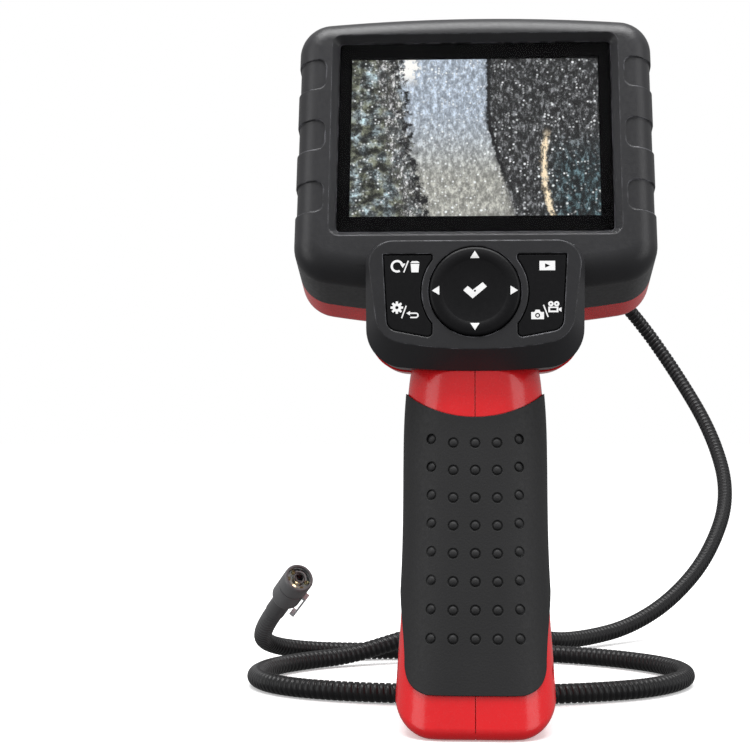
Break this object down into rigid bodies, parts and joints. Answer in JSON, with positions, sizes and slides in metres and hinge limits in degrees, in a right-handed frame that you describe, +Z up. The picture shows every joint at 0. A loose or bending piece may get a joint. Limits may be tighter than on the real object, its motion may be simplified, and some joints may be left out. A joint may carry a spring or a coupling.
{
  "type": "inspection camera",
  "caption": "Hand-held inspection camera with a tilted colour screen, a keypad, a rubber grip and a long flexible gooseneck probe that ends in a small lit camera tip.",
  "frame": {"origin": "centre of the handle's foot, on the surface that it stands on", "axes": "+Z up along the handle, -Y the side that the screen and keypad face, +X the user's right"},
  "size_m": [0.1773, 0.3305, 0.1975],
  "materials": {
    "shell_black": "satin moulded plastic, dark grey",
    "shell_red": "glossy red moulded plastic",
    "grip_rubber": "matt black moulded rubber with bumps",
    "key_rubber": "black silicone rubber",
    "window": "clear cover window, polished",
    "lcd": "display panel showing a picture",
    "dark_plastic": "plain moulded plastic",
    "foam": "closed-cell foam",
    "circuit_board": "green solder mask",
    "chip": "moulded chip packages",
    "steel": "plated steel",
    "tinned": "tinned steel shells",
    "battery": "printed film sleeve",
    "contact": "nickel-plated spring steel",
    "door_red": "glossy red moulded plastic",
    "cable_black": "black jacketed gooseneck, ribbed",
    "probe_metal": "dark anodised metal",
    "ring_black": "knurled black plastic",
    "lens_glass": "coated lens glass",
    "led": "white light-emitting diodes, one lit warm",
    "clear": "clear disc"
  },
  "bodies": {
    "housing": {"av_jack": "dark_plastic", "battery_cell_1": "battery", "battery_cell_2": "battery", "battery_cell_3": "battery", "battery_cell_4": "battery", "battery_tray": "dark_plastic", "board_chips": "chip", "board_screw_1": "steel", "board_screw_2": "steel", "board_screw_3": "steel", "board_screw_4": "steel", "camera_housing": "probe_metal", "card_slot": "tinned", "display_window": "window", "door_pin": "steel", "face_glass": "clear", "front_shell": "shell_black", "gooseneck": "cable_black", "grip_sleeve": "grip_rubber", "handle_screw_1": "steel", "handle_screw_2": "steel", "housing_screw_1": "steel", "housing_screw_2": "steel", "housing_screw_3": "steel", "housing_screw_4": "steel", "keypad_board": "circuit_board", "keypad_frame": "dark_plastic", "keypad_membrane": "foam", "lcd_frame": "dark_plastic", "lcd_panel": "lcd", "led_board": "circuit_board", "leds": "led", "left_half": "shell_red", "lens": "lens_glass", "lens_barrel": "dark_plastic", "lens_bezel": "probe_metal", "lower_contacts": "contact", "main_board": "circuit_board", "memory_card": "dark_plastic", "probe_plug": "probe_metal", "probe_socket": "dark_plastic", "right_half": "shell_red", "strain_relief": "cable_black", "tip_clip": "steel", "tip_sleeve": "cable_black", "upper_contacts": "contact", "usb_socket": "tinned", "window_gasket": "foam"},
    "ok_plunger": {"pad_plunger": "dark_plastic"},
    "pad_ring": {"pad_rocker": "dark_plastic"},
    "pad": {"direction_pad": "key_rubber"},
    "left_rocker": {"left_key": "key_rubber"},
    "right_rocker": {"right_key": "key_rubber"},
    "power": {"power_button": "key_rubber"},
    "side_flap": {"port_cover": "door_red"},
    "rear_door": {"battery_door": "door_red"},
    "captive_screw": {"door_screw": "steel"},
    "coupling_ring": {"locking_ring": "ring_black"}
  },
  "joints": [
    {"name": "ok_press", "type": "slide", "parent": "housing", "child": "ok_plunger", "axis": [0, 0.9882, -0.153], "range_m": [0, 0.0005], "stiffness_N_per_m": 600, "springref_m": -0.0005},
    {"name": "pad_up_down", "type": "hinge", "parent": "ok_plunger", "child": "pad_ring", "pos_m": [0, 0.00015, 0.11554], "axis": [1, 0, 0], "range_deg": [-2.5, 2.5], "stiffness_Nm_per_rad": 0.15},
    {"name": "pad_left_right", "type": "hinge", "parent": "pad_ring", "child": "pad", "pos_m": [0, 0.00015, 0.11554], "axis": [0, 0.153, 0.9882], "range_deg": [-2.5, 2.5], "stiffness_Nm_per_rad": 0.15},
    {"name": "left_key_rock", "type": "hinge", "parent": "housing", "child": "left_rocker", "pos_m": [-0.0192, 0.00034, 0.1148], "axis": [1, 0, 0], "range_deg": [-2.5, 2.5], "stiffness_Nm_per_rad": 0.15},
    {"name": "right_key_rock", "type": "hinge", "parent": "housing", "child": "right_rocker", "pos_m": [0.0192, 0.00034, 0.1148], "axis": [1, 0, 0], "range_deg": [-2.5, 2.5], "stiffness_Nm_per_rad": 0.15},
    {"name": "power_press", "type": "slide", "parent": "housing", "child": "power", "axis": [0, -0.2756, -0.9613], "range_m": [0, 0.0008], "stiffness_N_per_m": 600, "springref_m": -0.0005},
    {"name": "port_cover_hinge", "type": "hinge", "parent": "housing", "child": "side_flap", "pos_m": [0.04925, 0.0416, 0.15506], "axis": [0.0026, -0.2756, -0.9613], "range_deg": [0, 95]},
    {"name": "battery_door_hinge", "type": "hinge", "parent": "housing", "child": "rear_door", "pos_m": [0, 0.02718, 0.01447], "axis": [-1, 0, 0], "range_deg": [0, 85]},
    {"name": "door_screw_turn", "type": "hinge", "parent": "rear_door", "child": "captive_screw", "pos_m": [0, 0.03732, 0.07838], "axis": [0, 0.9906, -0.1367], "continuous": true},
    {"name": "locking_ring_turn", "type": "hinge", "parent": "housing", "child": "coupling_ring", "pos_m": [0, 0.05521, 0.15896], "axis": [0, 0.9613, -0.2756], "range_deg": [0, 60]}
  ]
}
